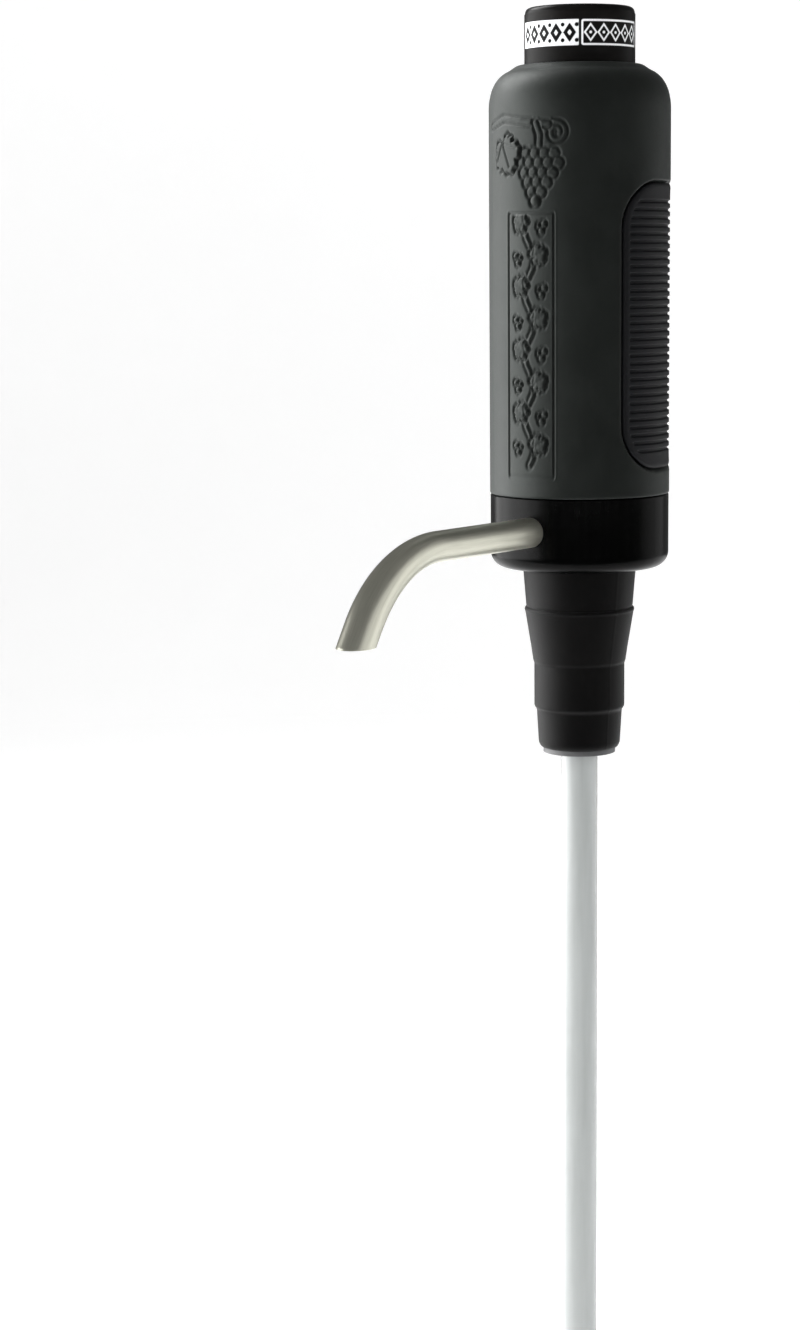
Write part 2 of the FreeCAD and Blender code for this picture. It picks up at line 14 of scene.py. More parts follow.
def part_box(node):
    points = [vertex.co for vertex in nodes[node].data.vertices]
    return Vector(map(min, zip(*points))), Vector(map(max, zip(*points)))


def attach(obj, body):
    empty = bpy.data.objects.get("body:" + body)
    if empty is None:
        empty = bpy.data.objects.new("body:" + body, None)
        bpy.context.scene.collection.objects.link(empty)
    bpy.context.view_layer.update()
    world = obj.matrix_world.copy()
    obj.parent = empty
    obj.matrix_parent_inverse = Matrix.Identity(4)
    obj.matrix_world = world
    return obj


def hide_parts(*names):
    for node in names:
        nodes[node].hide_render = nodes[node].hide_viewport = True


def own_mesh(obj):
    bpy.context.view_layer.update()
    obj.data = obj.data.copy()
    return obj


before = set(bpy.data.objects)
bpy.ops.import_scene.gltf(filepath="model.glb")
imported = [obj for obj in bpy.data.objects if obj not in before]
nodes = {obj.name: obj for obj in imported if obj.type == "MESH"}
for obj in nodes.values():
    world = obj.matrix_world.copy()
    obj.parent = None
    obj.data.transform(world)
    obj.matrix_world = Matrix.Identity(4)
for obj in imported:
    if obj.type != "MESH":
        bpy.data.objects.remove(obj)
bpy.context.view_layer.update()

MM = 0.001


# ---- sizes read from the frame --------------------------------------------------------------------------
def node_box(name):
    """A node's lowest and highest corner in millimetres."""
    low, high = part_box(name)
    return [c / MM for c in low], [c / MM for c in high]


shell_low, shell_high = node_box("grip_shell")
can_low, can_high = node_box("cartridge_can")
label_low, label_high = node_box("cartridge_label")
stopper_low, stopper_high = node_box("stopper")
spout_low, spout_high = node_box("spout_tube")
tube_low, _ = node_box("dip_tube")
pad_low, pad_high = node_box("grip_pad_right")

SHELL_R = shell_high[1]
SEAM_Z = shell_low[2]
SHELL_TOP = shell_high[2]
CAN_R = can_high[0]
CAN_TOP = can_high[2]
LABEL_R = label_high[0]
LABEL_LOW, LABEL_HIGH = label_low[2], label_high[2]


# ---- mesh helpers ---------------------------------------------------------------------------------------
CORNER_POINTS = 6      # on each rounded corner of a profile
LARGE = 1e3            # farther than any distance in the reliefs, in mm


def smoothstep(x):
    """0 below 0, 1 above 1 and an S-curve between."""
    x = np.clip(x, 0.0, 1.0)
    return x * x * (3 - 2 * x)


def build_mesh(name, points, faces, sharp_deg=None):
    """A smooth-shaded mesh object from points in millimetres and quads."""
    mesh = bpy.data.meshes.new(name)
    points = np.asarray(points, float) * MM
    faces = np.asarray(faces, int)
    mesh.vertices.add(len(points))
    mesh.vertices.foreach_set("co", points.astype(np.float32).ravel())
    mesh.loops.add(faces.size)
    mesh.loops.foreach_set("vertex_index", faces.astype(np.int32).ravel())
    mesh.polygons.add(len(faces))
    size = faces.shape[1]
    mesh.polygons.foreach_set("loop_start", np.arange(0, faces.size, size, dtype=np.int32))
    mesh.polygons.foreach_set("use_smooth", np.ones(len(faces), bool))
    mesh.update(calc_edges=True)
    mesh.validate()
    if sharp_deg is not None:
        mesh.set_sharp_from_angle(angle=math.radians(sharp_deg))
    obj = bpy.data.objects.new(name, mesh)
    bpy.context.scene.collection.objects.link(obj)
    return obj


def grid_faces(rows, columns, wrap_rows=False, wrap_columns=False):
    """Quads over a grid of points stored row by row."""
    r = np.arange(rows if wrap_rows else rows - 1)
    c = np.arange(columns if wrap_columns else columns - 1)
    r, c = np.meshgrid(r, c, indexing="ij")
    r1, c1 = (r + 1) % rows, (c + 1) % columns
    quads = np.stack([r * columns + c, r * columns + c1, r1 * columns + c1, r1 * columns + c], -1)
    return quads.reshape(-1, 4)


def around(radius, degrees, z):
    """Points at that distance from the axis, at angles counted from the spout towards +X."""
    turn = np.radians(degrees)
    radius, turn, z = np.broadcast_arrays(radius, turn, z)
    return np.stack([radius * np.sin(turn), -radius * np.cos(turn), z], -1)


def bezier(p0, p1, p2, p3, count):
    """Points along a cubic curve, without its first point, as (r, z) tuples."""
    t = np.linspace(0, 1, count + 1)[1:, None]
    p0, p1, p2, p3 = (np.array(p, float) for p in (p0, p1, p2, p3))
    curve = (1 - t) ** 3 * p0 + 3 * (1 - t) ** 2 * t * p1 + 3 * (1 - t) * t * t * p2 + t ** 3 * p3
    return [tuple(point) for point in curve]


def rounded(profile):
    """A closed profile of (r, z, radius) with each corner replaced by an arc-like curve of that radius."""
    points = []
    count = len(profile)
    for i, (r, z, radius) in enumerate(profile):
        here = np.array((r, z), float)
        if radius <= 0:
            points.append(here)
            continue
        before = np.array(profile[i - 1][:2], float) - here
        after = np.array(profile[(i + 1) % count][:2], float) - here
        reach = min(radius, np.linalg.norm(before) * 0.49, np.linalg.norm(after) * 0.49)
        a = here + before / np.linalg.norm(before) * reach
        b = here + after / np.linalg.norm(after) * reach
        for t in np.linspace(0, 1, CORNER_POINTS):
            points.append((1 - t) ** 2 * a + 2 * t * (1 - t) * here + t * t * b)
    return np.array(points)


def subdivided(profile, step):
    """The closed profile with no stretch longer than step."""
    points = []
    for a, b in zip(profile, np.roll(profile, -1, axis=0)):
        count = max(1, int(math.ceil(np.linalg.norm(b - a) / step)))
        points.extend(a + (b - a) * k / count for k in range(count))
    return np.array(points)


def lathe(name, profile, columns, swell, sharp_deg):
    """A closed profile turned round the axis; swell(degrees, r, z) adds to the radius."""
    degrees = np.linspace(0, 360, columns, endpoint=False)
    r = np.repeat(profile[:, 0][:, None], columns, 1)
    z = np.repeat(profile[:, 1][:, None], columns, 1)
    deg = np.repeat(degrees[None, :], len(profile), 0)
    if swell is not None:
        r = r + swell(deg, r, z)
    return build_mesh(name, around(r, deg, z).reshape(-1, 3),
                      grid_faces(len(profile), columns, wrap_rows=True, wrap_columns=True), sharp_deg)


def rounded_box_distance(s, z, half_s, half_z, corner):
    """Signed distance to a rounded rectangle about the origin, negative inside."""
    ds, dz = np.abs(s) - half_s + corner, np.abs(z) - half_z + corner
    outside = np.hypot(np.maximum(ds, 0), np.maximum(dz, 0))
    return outside + np.minimum(np.maximum(ds, dz), 0) - corner


def stroke_distance(s, z, path):
    """Distance to a polyline."""
    best = np.full(np.shape(s), LARGE)
    for (s0, z0), (s1, z1) in zip(path[:-1], path[1:]):
        length2 = max((s1 - s0) ** 2 + (z1 - z0) ** 2, 1e-9)
        t = np.clip(((s - s0) * (s1 - s0) + (z - z0) * (z1 - z0)) / length2, 0, 1)
        best = np.minimum(best, np.hypot(s - s0 - t * (s1 - s0), z - z0 - t * (z1 - z0)))
    return best


def leaf_distance(s, z, centre, size, lean_deg):
    """Signed distance to a toothed leaf with five lobes, and the distance to its veins."""
    lean = math.radians(lean_deg)
    x, y = s - centre[0], z - centre[1]
    u = (x * math.cos(lean) + y * math.sin(lean)) / size
    v = (-x * math.sin(lean) + y * math.cos(lean)) / size
    angle, radius = np.arctan2(u, v), np.hypot(u, v)
    five, tip, teeth = np.abs(np.cos(2.5 * angle)) ** 0.8, np.cos(angle), np.cos(15 * angle)
    stalk_notch = np.exp(-((np.abs(angle) - math.pi) / 0.24) ** 2)
    lobes = 0.60 + 0.16 * five + 0.14 * tip + 0.035 * teeth
    lobes -= 0.3 * stalk_notch
    veins = np.minimum.reduce([
        stroke_distance(u, v, [(0, -0.38), (reach * math.sin(a), -0.38 + reach * math.cos(a))])
        for a, reach in ((0, 1.05), (0.9, 0.85), (-0.9, 0.85), (1.9, 0.5), (-1.9, 0.5))
    ])
    return (radius - lobes) * size * 0.85, veins * size


# ---- relief on the front of the grip --------------------------------------------------------------------
FRAME_LOW, FRAME_HIGH = 43.1, 96.1
FRAME_HALF_DEG = 18.6
FRAME_HALF = SHELL_R * math.radians(FRAME_HALF_DEG)
FRAME_BAND = 1.1

VINE_SWING, VINE_WAVE = 1.15, 12.4     # how far the climbing stem swings, and over what height
LEAF_COUNT, LEAF_STEP, LEAF_SIZE = 8, 6.2, 2.35
TRIPLET = ((0, 0), (0.95, 0.35), (0.4, -0.95))     # the three berries of a small bunch

CANE = [(-12.2, 112.6), (-7.0, 113.9), (-1.0, 113.2), (4.2, 112.6)]
STALK = [(1.4, 112.9), (2.3, 110.6), (2.2, 108.4)]
CURL_CENTRE, CURL_START, CURL_TURN = (5.9, 111.0), 5.6, 9.0
GRAPE_ROWS = ((107.0, 4), (105.15, 5), (103.3, 4), (101.45, 3), (99.6, 2), (97.85, 1))     # height, grapes
GRAPE_R, GRAPE_PITCH = 1.02, 2.05
BIG_LEAF_AT, BIG_LEAF_SIZE, BIG_LEAF_LEAN = (-6.3, 107.6), 4.9, 205


def raised(distance, height, moat, soft=0.22):
    """Raised inside a shape, with a shallow groove round it."""
    top = height * smoothstep(0.5 - distance / soft)
    groove = -moat * np.exp(-((distance - 0.28) / 0.24) ** 2)
    return top + groove


def frame_relief(s, z):
    """The rectangular frame: a raised band with a groove along its middle."""
    mid = (FRAME_LOW + FRAME_HIGH) / 2
    half_z = (FRAME_HIGH - FRAME_LOW) / 2
    edge = rounded_box_distance(s, z - mid, FRAME_HALF, half_z, 0.8) + FRAME_BAND / 2
    band = 0.2 * smoothstep(1.15 - np.abs(edge) / (FRAME_BAND / 2 + 0.12))
    return band - 0.5 * np.exp(-(edge / 0.26) ** 2)


def vine_relief(s, z):
    """A climbing vine inside the frame, with leaves and small bunches by turns."""
    low, high = FRAME_LOW + 3.0, FRAME_HIGH - 3.0
    t = np.linspace(low, high, 90)
    stem = list(zip(VINE_SWING * np.sin((t - low) / VINE_WAVE * 2 * math.pi), t))
    relief = raised(stroke_distance(s, z, stem) - 0.34, 0.2, 0.3)
    for i in range(LEAF_COUNT):
        z0 = low + LEAF_STEP / 2 + i * LEAF_STEP
        side = 1 if i % 2 == 0 else -1
        distance, veins = leaf_distance(s, z, (side * 1.75, z0 + 0.9), LEAF_SIZE, -side * 62)
        leaf = raised(distance, 0.3, 0.42) - 0.16 * np.exp(-(veins / 0.16) ** 2) * (distance < 0)
        relief = np.where(distance < 0.75, leaf, relief)
        for ds, dz in TRIPLET:
            berry = np.hypot(s + side * (2.35 + ds), z - z0 - 0.4 - dz) - 0.5
            relief = np.where(berry < 0.5, raised(berry, 0.3, 0.36), relief)
    return relief


def grape_relief(s, z):
    """A bunch of grapes hanging from a cane, with a large leaf and a curled tendril, above the frame."""
    relief = np.zeros(np.shape(s))
    curl = [(CURL_CENTRE[0] + (2.1 - 1.5 * t) * math.sin(CURL_START + CURL_TURN * t),
             CURL_CENTRE[1] + (2.1 - 1.5 * t) * math.cos(CURL_START + CURL_TURN * t))
            for t in np.linspace(0, 1, 44)]
    for path, half_width in ((curl, 0.3), (CANE, 0.46), (STALK, 0.4)):
        distance = stroke_distance(s, z, path) - half_width
        relief = np.where(distance < 0.7, raised(distance, 0.3, 0.42), relief)
    for z0, count in GRAPE_ROWS:
        for k in range(count):
            s0 = 2.3 + (k - (count - 1) / 2) * GRAPE_PITCH - (GRAPE_ROWS[0][0] - z0) * 0.1
            away = np.hypot(s - s0, z - z0)
            dome = 0.5 * np.sqrt(np.clip(1 - (away / GRAPE_R) ** 2, 0, 1)) - 0.08
            moat = -0.42 * np.exp(-((away - 1.2) / 0.28) ** 2)
            relief = np.where(away < 0.97, dome, np.minimum(relief, moat))
    distance, veins = leaf_distance(s, z, BIG_LEAF_AT, BIG_LEAF_SIZE, BIG_LEAF_LEAN)
    leaf = raised(distance, 0.36, 0.55) - 0.3 * np.exp(-(veins / 0.2) ** 2) * (distance < 0)
    return np.where(distance < 0.8, leaf, relief)


def front_relief(s, z):
    """Height of the relief on the front: the frame, the vine in it and the grapes above it."""
    relief = frame_relief(s, z)
    inside = (np.abs(s) < FRAME_HALF - 0.9) & (z > FRAME_LOW + 1) & (z < FRAME_HIGH - 1)
    relief = np.where(inside, vine_relief(s, z), relief)
    return np.where(z > FRAME_HIGH + 0.6, grape_relief(s, z), relief)


# ---- grip shell -----------------------------------------------------------------------------------------
PAD_CENTRE = 105.0     # degrees from the spout
PAD_HALF_DEG = 45.0
PAD_HALF = math.radians(PAD_HALF_DEG) * SHELL_R
PAD_CORNER = 9.5
PAD_GAP = 0.45
PAD_LOW = pad_low[2] - PAD_GAP
PAD_HIGH = pad_high[2] + PAD_GAP
PAD_MID = (PAD_LOW + PAD_HIGH) / 2
PAD_FLOOR_R = 16.9
POCKET_DEPTH = SHELL_R - PAD_FLOOR_R + 0.05
FLAT_TOP = SHELL_TOP - 8.9     # the straight side ends here and the shoulder begins
REBATE_R = 16.95               # inside radius where the shell sits over the collar's spigot
SHELL_BORE_R = 16.0
CROWN_R = 14.4
MOUTH_R = 11.7
RELIEF_LEFT, RELIEF_RIGHT = -13.6, 9.8
ROW_STEP, FINE_ROW_STEP = 0.37, 0.29


def pocket_distance(degrees, z):
    """Signed distance to the nearer pad pocket's outline."""
    wrapped = (np.asarray(degrees) + 180) % 360 - 180
    s = np.radians(np.abs(wrapped) - PAD_CENTRE) * SHELL_R
    return rounded_box_distance(s, z - PAD_MID, PAD_HALF, (PAD_HIGH - PAD_LOW) / 2, PAD_CORNER)


def shell_columns():
    """Angles of the shell's columns: close together at the relief and the pockets' edges."""
    spans = ((-44, 32, 0.56), (32, 58, 1.3), (58, 92, 0.95), (92, 118, 2.6), (118, 152, 0.95),
             (152, 208, 2.8), (208, 242, 0.95), (242, 268, 2.6), (268, 302, 0.95), (302, 316, 1.0))
    columns = []
    for start, end, step in spans:
        count = max(1, round((end - start) / step))
        columns.extend(start + (end - start) * k / count for k in range(count))
    return np.array(columns)


def make_shell():
    """Hollow grip: relief on the front, two pockets for the pads, a domed shoulder and a round mouth."""
    bottom, top = SEAM_Z, SHELL_TOP
    rows = [(REBATE_R, bottom), (SHELL_R - 0.28, bottom), (SHELL_R - 0.1, bottom + 0.06),
            (SHELL_R, bottom + 0.25)]
    flat_start = len(rows) - 1
    z = bottom + 0.25
    while z < FLAT_TOP - 0.05:
        step = FINE_ROW_STEP if z > FRAME_HIGH - 1 else ROW_STEP
        z = min(z + step, FLAT_TOP)
        rows.append((SHELL_R, z))
    flat_end = len(rows)
    # over the shoulder and the crown, and round the mouth's edge
    rows += bezier((SHELL_R, FLAT_TOP), (SHELL_R, top - 4.6), (16.6, top - 2.2), (CROWN_R, top - 1.2), 22)
    rows += bezier((CROWN_R, top - 1.2), (13.7, top - 0.87), (12.9, top - 0.1), (12.3, top), 8)
    rows += bezier((12.3, top), (11.9, top), (MOUTH_R, top - 0.15), (MOUTH_R, top - 0.55), 6)
    rows += [(MOUTH_R, top - 2.4), (MOUTH_R, top - 4.2), (MOUTH_R + 0.15, top - 4.4), (CROWN_R, top - 4.4)]
    # down the inside to the rebate
    rows += bezier((CROWN_R, top - 4.4), (15.4, top - 5.0), (15.8, top - 6.4), (SHELL_BORE_R, top - 8.4), 8)
    rows += [(SHELL_BORE_R, z) for z in (100.0, 80.0, 60.0, bottom + 3.6)]
    rows.append((REBATE_R, bottom + 3.6))
    rows = np.array(rows)
    degrees = shell_columns()
    r = np.repeat(rows[:, 0][:, None], len(degrees), 1)
    z = np.repeat(rows[:, 1][:, None], len(degrees), 1)
    deg = np.repeat(degrees[None, :], len(rows), 0)
    flat = np.zeros(r.shape, bool)
    flat[flat_start:flat_end] = True
    sunk = POCKET_DEPTH * smoothstep((0.12 - pocket_distance(deg, z)) / 0.42)
    s = np.radians(deg) * SHELL_R
    front = (s > RELIEF_LEFT) & (s < RELIEF_RIGHT)
    fade = smoothstep(s - RELIEF_LEFT) * smoothstep(RELIEF_RIGHT - s)
    relief = np.where(front, front_relief(s, z) * fade, 0.0)
    relief *= smoothstep((z - SEAM_Z - 0.8) / 0.8) * smoothstep((FLAT_TOP - z) / 0.8)
    r = np.where(flat, r - sunk + relief, r)
    return build_mesh("grip_shell_moulded", around(r, deg, z).reshape(-1, 3),
                      grid_faces(len(rows), len(degrees), wrap_rows=True, wrap_columns=True))


# ---- grip pads ------------------------------------------------------------------------------------------
RIB_PITCH = 1.582
RIB_COUNT = 32
RIB_MARGIN = 1.4      # smooth border round the grooves
GROOVE_DEPTH = 0.36
PAD_R = 18.1
PAD_EDGE_R = 0.5


def make_pad(side, name):
    """Rubber pad with a rounded edge and 32 grooves inside a smooth border."""
    first = PAD_MID - (RIB_COUNT - 1) * RIB_PITCH / 2
    half_z = (PAD_HIGH - PAD_LOW) / 2 - PAD_GAP
    half_s = PAD_HALF - PAD_GAP
    corner = PAD_CORNER - PAD_GAP
    edge_steps = np.array([0.0, 0.04, 0.12, 0.24, 0.4, 0.6, 0.85, 1.1, 1.3])
    low, high = PAD_MID - half_z, PAD_MID + half_z
    phases = RIB_PITCH * np.array([
        -0.5, -0.36, -0.27, -0.21, -0.15, -0.09, 0.0, 0.09, 0.15, 0.21, 0.27, 0.36])
    groove_rows = [first + k * RIB_PITCH + phases for k in range(RIB_COUNT)]
    z_rows = np.concatenate([low + edge_steps] + groove_rows + [high - edge_steps])
    z_rows = np.unique(np.round(z_rows[(z_rows >= low) & (z_rows <= high)], 3))
    far = np.maximum(np.abs(z_rows - PAD_MID) - (half_z - corner), 0)
    half_width = half_s - corner + np.sqrt(np.maximum(corner ** 2 - far ** 2, 0))
    side_steps = np.concatenate([edge_steps, [1.42, 1.55, 1.75, 2.1, 2.8]])
    border = side_steps[-1]
    t = np.linspace(0, 1, 25)[1:-1]
    s = np.stack([
        np.concatenate([-w + side_steps, -w + border + t * (2 * w - 2 * border), (w - side_steps)[::-1]])
        for w in half_width])
    z = np.repeat(z_rows[:, None], s.shape[1], 1)
    inward = -rounded_box_distance(s, z - PAD_MID, half_s, half_z, corner)
    inward = np.maximum(inward, 0)
    drop = PAD_EDGE_R - np.sqrt(np.maximum(PAD_EDGE_R ** 2 - np.maximum(PAD_EDGE_R - inward, 0) ** 2, 0))
    phase = (z - first) / RIB_PITCH
    in_rows = (phase > -0.5) & (phase < RIB_COUNT - 0.5)
    offset = (phase - np.round(phase)) * RIB_PITCH
    ribbed = inward - RIB_MARGIN
    groove = GROOVE_DEPTH * smoothstep((0.42 - np.abs(offset)) / 0.26) * in_rows * smoothstep(ribbed / 0.22)
    crown = 0.08 * np.cos(offset / RIB_PITCH * 2 * math.pi) * in_rows * smoothstep(ribbed / 0.5)
    bead = 0.06 * np.exp(-((inward - 0.95) / 0.4) ** 2)
    r = PAD_R - drop - groove - np.maximum(crown, 0) * 0.3 + bead
    deg = side * (PAD_CENTRE + np.degrees(s / SHELL_R))
    front = around(r, deg, z).reshape(-1, 3)
    back = around(np.full(s.shape, PAD_FLOOR_R + 0.02), deg, z).reshape(-1, 3)
    rows, columns = s.shape
    size = rows * columns
    faces = [grid_faces(rows, columns), grid_faces(rows, columns)[:, ::-1] + size]
    rim = np.concatenate([
        np.arange(columns), columns * np.arange(1, rows) + columns - 1,
        (rows - 1) * columns + np.arange(columns - 2, -1, -1), columns * np.arange(rows - 2, 0, -1)])
    after = np.roll(rim, -1)
    faces.append(np.stack([after, rim, rim + size, after + size], -1))
    faces = np.concatenate(faces)
    if side < 0:
        faces = faces[:, ::-1]
    return build_mesh(name, np.concatenate([front, back]), faces)


# ---- spout ----------------------------------------------------------------------------------------------
SPOUT_Z = spout_high[2] - 3.0
BEND_START, BEND_R, BEND_DEG = 49.45, 27.9, 57.5
SPOUT_R, SPOUT_BORE = 3.0, 2.5
OUTLET_R, OUTLET_BORE = 3.55, 3.05
OUTLET_Z = spout_low[2]
SPOUT_START = 7.2      # the tube's inner end, from the axis
LIP = 0.12             # the rounding of the cut edge
SPOUT_COLUMNS = 96


def make_spout():
    """The bent tube as one closed wall: outside, rounded lip at the level cut, inside, square inner end."""
    turn = np.radians(np.linspace(0, 360, SPOUT_COLUMNS, endpoint=False))
    cos, sin = np.cos(turn)[:, None], np.sin(turn)[:, None]
    across = np.array([1.0, 0.0, 0.0])
    turn_end = math.radians(BEND_DEG)

    def station(where):
        """Centre, direction and upward normal: 0 to 1 along the straight, 1 to 2 round the bend."""
        if where <= 1:
            return (np.array([0, -(SPOUT_START + (BEND_START - SPOUT_START) * where), SPOUT_Z]),
                    np.array([0, -1.0, 0]), np.array([0, 0, 1.0]))
        a = turn_end * (where - 1)
        centre = np.array([0, -(BEND_START + BEND_R * math.sin(a)), SPOUT_Z - BEND_R * (1 - math.cos(a))])
        return centre, np.array([0, -math.cos(a), -math.sin(a)]), np.array([0, -math.sin(a), math.cos(a)])

    def wall(root, outlet, lip):
        """Rings from the inner end to the level cut, and each point's place on the unrolled tube."""
        rows, lays = [], []
        straight = np.concatenate([np.linspace(0, 0.2, 6), np.linspace(0.25, 0.98, 30)])
        bend = 1 + np.linspace(0, 1, 64)
        length = 0.0
        previous = None
        for where in np.concatenate([straight, bend]):
            centre, direction, up = station(where)
            share = smoothstep(where - 1) if where > 1 else 0.0
            radius = root + (outlet - root) * float(share)
            if previous is not None:
                length += np.linalg.norm(centre - previous)
            previous = centre
            rows.append(centre + radius * (cos * across + sin * up))
            along = np.full((SPOUT_COLUMNS, 1), length)
            lays.append(np.concatenate([along, radius * cos, radius * sin], 1))
        centre, direction, up = station(2)
        ring = centre + outlet * (cos * across + sin * up)
        reach = (OUTLET_Z - ring[:, 2]) / direction[2]
        for share in (0.25, 0.5, 0.75, 0.9, 0.97, 1.0):
            run = reach * share
            if share > 0.95:
                run = np.minimum(run, reach - 0.03)
            radius = outlet + (lip if share == 1.0 else 0.0)
            ring_now = centre + radius * (cos * across + sin * up) + run[:, None] * direction
            if share == 1.0:
                ring_now[:, 2] = OUTLET_Z
            rows.append(ring_now)
            lays.append(np.concatenate([length + run[:, None], outlet * cos, outlet * sin], 1))
        return rows, lays

    outer, outer_lay = wall(SPOUT_R, OUTLET_R, -LIP)
    inner, inner_lay = wall(SPOUT_BORE, OUTLET_BORE, LIP)
    rows = np.array(outer + inner[::-1])
    lay = np.array(outer_lay + inner_lay[::-1])
    obj = build_mesh("spout_brushed", rows.reshape(-1, 3),
                     grid_faces(len(rows), SPOUT_COLUMNS, wrap_rows=True, wrap_columns=True), 50)
    attribute = obj.data.attributes.new("lay", "FLOAT_VECTOR", "POINT")
    attribute.data.foreach_set("vector", lay.astype(np.float32).ravel())
    return obj


# ---- stopper, can and label -----------------------------------------------------------------------------
MOULD_LINES_DEG = (75, 255)
CAN_WALL = 0.45
DISH_R, DISH_DEPTH = 9.2, 2.9


def make_stopper():
    """Rubber plug with rounded steps and a faint mould line on each side."""
    low, high = stopper_low[2], stopper_high[2]
    profile = rounded([
        (6.6, low, 0.1), (7.9, low, 0.5), (8.35, low + 0.9, 0.6), (8.75, -5.1, 0.4), (9.25, -4.45, 0.35),
        (9.25, 4.5, 0.4), (9.45, 5.0, 0.4), (9.9, 8.0, 0.8), (11.08, 15.2, 0.3), (11.24, 15.6, 0.18),
        (11.1, 16.05, 0.2), (10.78, 16.12, 0.12), (10.9, 16.6, 0.25), (11.5, 24.0, 0.5), (11.42, high, 0.2),
        (6.6, high, 0.1)])
    profile = subdivided(profile, 0.9)

    def swell(deg, r, _):
        line = np.minimum(*(np.abs(deg - at) for at in MOULD_LINES_DEG))
        return 0.05 * np.exp(-(line / 0.9) ** 2) * (r > 8.0)

    return lathe("stopper_moulded", profile, 240, swell, 45)


def make_can():
    """Spun can: rolled outer edge and a dished base at the top, neck and shoulder below."""
    neck = can_low[2]
    rim = CAN_TOP - 0.7
    outer = [(7.2, neck, 0.1), (9.4, neck, 0.15), (9.4, neck + 1.2, 0.3), (8.8, neck + 1.8, 0.3),
             (8.8, neck + 3.7, 0.3), (9.3, neck + 4.35, 0.6), (10.5, neck + 5.3, 0.9),
             (CAN_R, neck + 6.3, 0.5), (CAN_R, CAN_TOP - 0.95, 0.5),
             (CAN_R - 0.3, CAN_TOP - 0.3, 0.4), (CAN_R - 1.0, CAN_TOP, 0.4),
             (CAN_R - 1.45, CAN_TOP - 0.2, 0.3), (DISH_R, rim, 0.3)]
    sphere = (DISH_R ** 2 + DISH_DEPTH ** 2) / (2 * DISH_DEPTH)
    dish = [(r, rim - DISH_DEPTH + sphere - math.sqrt(sphere ** 2 - r ** 2))
            for r in np.linspace(8.9, 0.02, 26)]
    under = [(r, z - CAN_WALL) for r, z in dish[::-1]]
    inside = [(CAN_R - CAN_WALL, CAN_TOP - 1.8), (CAN_R - CAN_WALL, neck + 6.5), (8.3, neck + 4.3),
              (8.3, neck + 2.0), (7.2, neck + 1.0)]
    profile = np.concatenate([rounded(outer), dish, under, inside])
    return lathe("cartridge_can_spun", profile, 180, None, 40)


BAND_DEG = 33.0            # the printed band's middle, counted from the spout
BAND_MID, BAND_HALF = 130.4, 2.5
BAND_REACH = 15.3          # half of the band's length; the rest of the ring repeats it at the back
LOZENGES = 5
LINE = 0.13                # half the width of the thin printed lines
RING_ROWS = ((98.0, 4), (94.6, 3), (91.2, 2), (87.8, 1))     # height, rings
FINE_LOW, FINE_HIGH = 84.0, 110.0      # the heights between which the lower print lies
LABEL_T = 0.14
LABEL_COLUMNS = 360


def diamond(s, z, half_s, half_z):
    """About the distance to a lozenge's edge, negative inside."""
    return (np.abs(s) / half_s + np.abs(z) / half_z - 1) * min(half_s, half_z) * 0.7


def band_print(s, z):
    """Signed distance to the printed white areas of the band, positive on white, about its middle line."""
    field = np.minimum(BAND_HALF - np.abs(z), 7.35 - np.abs(s + 7.55))
    for k in range(LOZENGES):
        centre = -13.2 + k * 2.8
        mark = np.maximum(diamond(s - centre, z, 1.3, 1.9), -diamond(s - centre, z, 0.42, 0.62))
        for side in (-1, 1):
            mark = np.minimum(mark, np.hypot(s - centre - 1.4, z - side * 1.5) - 0.4)
        field = np.minimum(field, mark)
    box = rounded_box_distance(s - 7.6, z, 7.3, BAND_HALF, 0.4)
    right = 0.19 - np.abs(box + 0.2)
    for k in range(LOZENGES):
        centre = 2.15 + k * 2.72
        right = np.maximum(right, 0.14 - np.abs(diamond(s - centre, z, 1.15, 1.55)))
        right = np.maximum(right, 0.28 - np.hypot(s - centre, z))
    return np.where(s < 0.1, field, right)


def label_print(degrees, z):
    """The whole label: the band at the top, fine rules at the ends, and three bunches of rings between."""
    s = np.radians((degrees + 180) % 360 - 180) * LABEL_R
    circumference = 2 * math.pi * LABEL_R
    middle = math.radians(BAND_DEG) * LABEL_R
    front = (s - middle + circumference / 2) % circumference - circumference / 2
    rear = (s - middle) % circumference - circumference / 2
    above = z - BAND_MID
    top = np.where(np.abs(front) < BAND_REACH, band_print(front, above), band_print(rear, above))
    top = np.where(np.abs(above) < 3.4, top, -1.0)
    rules = np.maximum(0.16 - np.abs(z - LABEL_LOW - 2.0), 0.3 - np.abs(z - LABEL_LOW - 3.2))
    rules = np.maximum(rules, 0.16 - np.abs(z - 125.6))
    rings = np.full(np.shape(s), -1.0)
    for centre in (0.0, 120.0, -120.0):
        ds = np.radians((degrees - centre + 180) % 360 - 180) * LABEL_R
        for z0, count in RING_ROWS:
            for k in range(count):
                berry = np.hypot(ds - (k - (count - 1) / 2) * 3.9, z - z0)
                rings = np.maximum(rings, LINE - np.abs(berry - 1.6))
        distance, veins = leaf_distance(ds, z, (-1.2, 104.4), 4.2, 20)
        rings = np.maximum(rings, LINE - np.abs(distance))
        rings = np.maximum(rings, np.where(distance < -0.5, 0.1 - veins, -1.0))
    return np.maximum.reduce([top, rules, rings])


